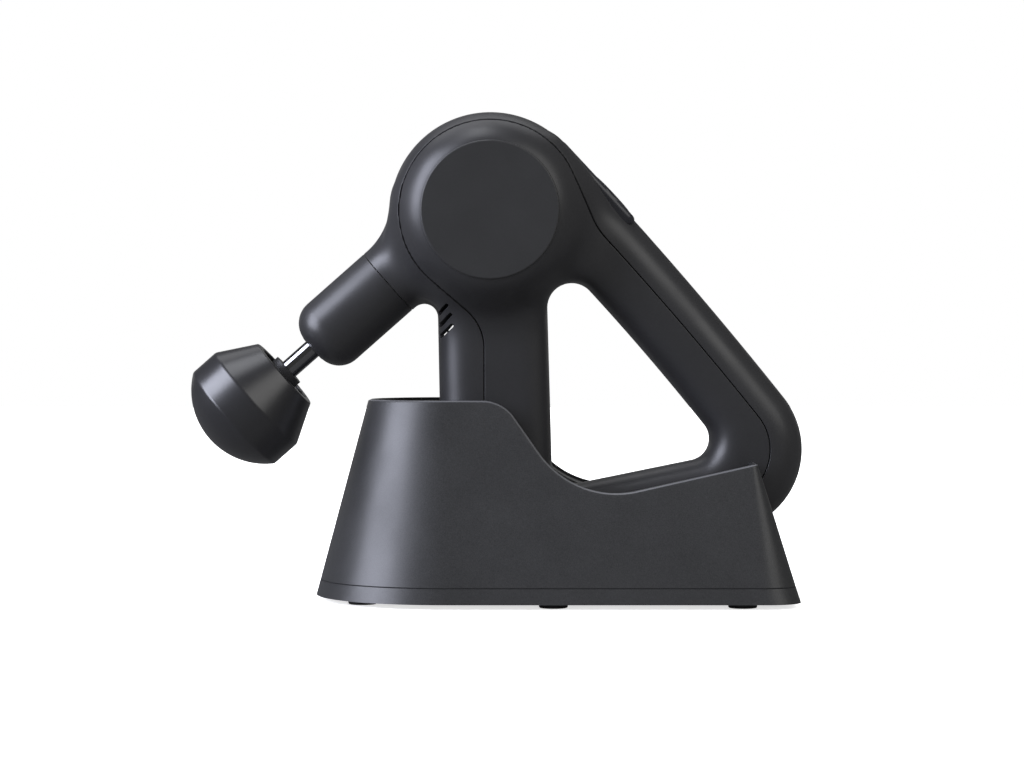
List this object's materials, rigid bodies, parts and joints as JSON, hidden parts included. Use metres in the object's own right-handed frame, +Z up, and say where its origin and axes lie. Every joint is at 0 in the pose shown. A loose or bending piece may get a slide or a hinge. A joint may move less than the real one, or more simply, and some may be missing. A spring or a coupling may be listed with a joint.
{
  "type": "massage gun",
  "caption": "Percussion massage gun with a triangular ring handle, round motor head and cone-backed attachment, seated in a tapered charging dock.",
  "frame": {"origin": "centre of the whole object's footprint, on the surface that the dock stands on", "axes": "+Z up, +X along the dock from the attachment's side to the handle's low corner, +Y to the back, square to the handle's plane"},
  "size_m": [0.2502, 0.1074, 0.1991],
  "materials": {
    "body_plastic": "satin soft-touch black",
    "cap_plastic": "satin dark grey",
    "panel_plastic": "satin black",
    "button_rubber": "matte black",
    "head_foam": "smooth moulded closed-cell foam",
    "socket_plastic": "hard black plastic",
    "bright_steel": "polished",
    "plain_steel": "machined",
    "cast_alloy": "die cast",
    "lamination": "stacked sheet",
    "copper": "enamelled wire",
    "board": "solder mask",
    "cell_wrap": "shrink wrap",
    "nickel": "nickel strip",
    "lead_jacket": "wire jacket",
    "inner_plastic": "natural moulded",
    "soft_rubber": "moulded rubber",
    "screen_glass": "polished",
    "screen": "display",
    "dock_plastic": "graphite with fine speckle",
    "ferrite": "sintered",
    "weight_iron": "cast"
  },
  "bodies": {
    "dock": {"dock_shell": "dock_plastic", "dock_cradle": "dock_plastic", "cradle_rest_pads": "soft_rubber", "dock_base_plate": "dock_plastic", "dock_feet": "soft_rubber", "dock_base_screws": "plain_steel", "dock_ballast": "weight_iron", "dock_charge_coil": "copper", "dock_ferrite_sheet": "ferrite", "dock_circuit_board": "board", "dock_power_socket": "socket_plastic"},
    "gun": {"left_cover": "body_plastic", "right_cover": "body_plastic", "spine_frame": "body_plastic", "left_disc_cap": "cap_plastic", "right_disc_cap": "cap_plastic", "nose_sleeve": "body_plastic", "nose_wiper_seal": "soft_rubber", "control_panel": "panel_plastic", "screen_window": "screen_glass", "screen_module": "screen", "button_switches": "socket_plastic", "main_circuit_board": "board", "gear_case": "cast_alloy", "motor_plate": "cast_alloy", "motor_can": "plain_steel", "motor_end_cap": "inner_plastic", "motor_stator": "lamination", "motor_coils": "copper", "motor_bearings": "bright_steel", "crank_bearings": "bright_steel", "shaft_bushings": "inner_plastic", "shaft_guide": "inner_plastic", "vibration_dampers": "soft_rubber", "battery_cells": "cell_wrap", "battery_straps": "nickel", "battery_board": "board", "battery_lead": "lead_jacket", "motor_lead": "lead_jacket", "receive_coil": "copper", "cover_screws": "plain_steel"},
    "rotor": {"motor_rotor": "lamination", "motor_shaft": "bright_steel", "motor_pinion": "plain_steel", "cooling_fan": "inner_plastic"},
    "crank": {"crank_gear": "plain_steel", "counterweight": "plain_steel", "crank_axle": "bright_steel", "axle_clip": "plain_steel"},
    "output": {"output_shaft": "bright_steel", "wrist_pin": "bright_steel"},
    "push_rod_body": {"push_rod": "cast_alloy", "push_rod_bearings": "bright_steel", "crank_pin": "bright_steel"},
    "massage_head_body": {"massage_head": "head_foam", "head_socket": "socket_plastic", "head_grip_ring": "soft_rubber"},
    "power_button_body": {"power_button": "button_rubber"},
    "speed_up_body": {"speed_up_button": "button_rubber"},
    "speed_down_body": {"speed_down_button": "button_rubber"}
  },
  "joints": [
    {"name": "gun_lift", "type": "slide", "parent": "dock", "child": "gun", "axis": [0, 0, 1], "range_m": [0, 0.12]},
    {"name": "crank_spin", "type": "hinge", "parent": "gun", "child": "crank", "pos_m": [-0.00526, 0, 0.16417], "axis": [0, 1, 0], "continuous": true},
    {"name": "motor_spin", "type": "hinge", "parent": "gun", "child": "rotor", "pos_m": [0.00469, 0, 0.14233], "axis": [0, 1, 0], "continuous": true},
    {"name": "shaft_stroke", "type": "slide", "parent": "gun", "child": "output", "axis": [-0.7501, 0, -0.6613], "range_m": [-0.008, 0.008]},
    {"name": "rod_swing", "type": "hinge", "parent": "output", "child": "push_rod_body", "pos_m": [-0.03313, 0, 0.13961], "axis": [0, 1, 0], "range_deg": [0, 24.3]},
    {"name": "head_pull", "type": "slide", "parent": "output", "child": "massage_head_body", "axis": [-0.7501, 0, -0.6613], "range_m": [0, 0.03]},
    {"name": "power_press", "type": "slide", "parent": "gun", "child": "power_button_body", "axis": [-0.7314, 0, -0.682], "range_m": [0, 0.0006], "stiffness_N_per_m": 400, "springref_m": -0.0002},
    {"name": "speed_up_press", "type": "slide", "parent": "gun", "child": "speed_up_body", "axis": [-0.7314, 0, -0.682], "range_m": [0, 0.0006], "stiffness_N_per_m": 400, "springref_m": -0.0002},
    {"name": "speed_down_press", "type": "slide", "parent": "gun", "child": "speed_down_body", "axis": [-0.7314, 0, -0.682], "range_m": [0, 0.0006], "stiffness_N_per_m": 400, "springref_m": -0.0002}
  ],
  "couplings": [
    {"joint": "motor_spin", "follows": "crank_spin", "ratio": -3}
  ]
}
